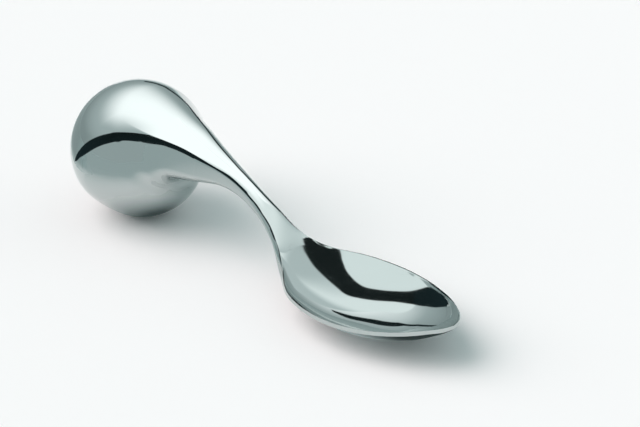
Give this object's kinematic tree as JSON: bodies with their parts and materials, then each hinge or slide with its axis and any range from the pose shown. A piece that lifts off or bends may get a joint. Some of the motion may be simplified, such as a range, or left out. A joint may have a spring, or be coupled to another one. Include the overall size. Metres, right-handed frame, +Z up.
{
  "type": "ball-ended tablespoon",
  "caption": "Polished tablespoon with an egg-shaped bowl, a short arched neck and a hollow ball for a handle. It scoops and serves food, and rests on the ball and the bowl.",
  "frame": {"origin": "centre of the bounding box, on the surface the spoon rests on", "axes": "+X from the ball to the tip of the bowl, +Z up, symmetrical about the XZ plane"},
  "size_m": [0.1766, 0.05, 0.0497],
  "materials": {
    "forged_steel": "mirror-polished stainless steel",
    "shell_steel": "mirror-polished stainless steel sheet",
    "braze": "pale brazing filler, polished flush where it shows",
    "cement": "dull setting cement"
  },
  "bodies": {
    "root": {"bowl": "forged_steel", "handle_upper_shell": "shell_steel", "handle_lower_shell": "shell_steel", "seam_braze": "braze", "throat_braze": "braze", "tang_cement": "cement"}
  },
  "joints": []
}
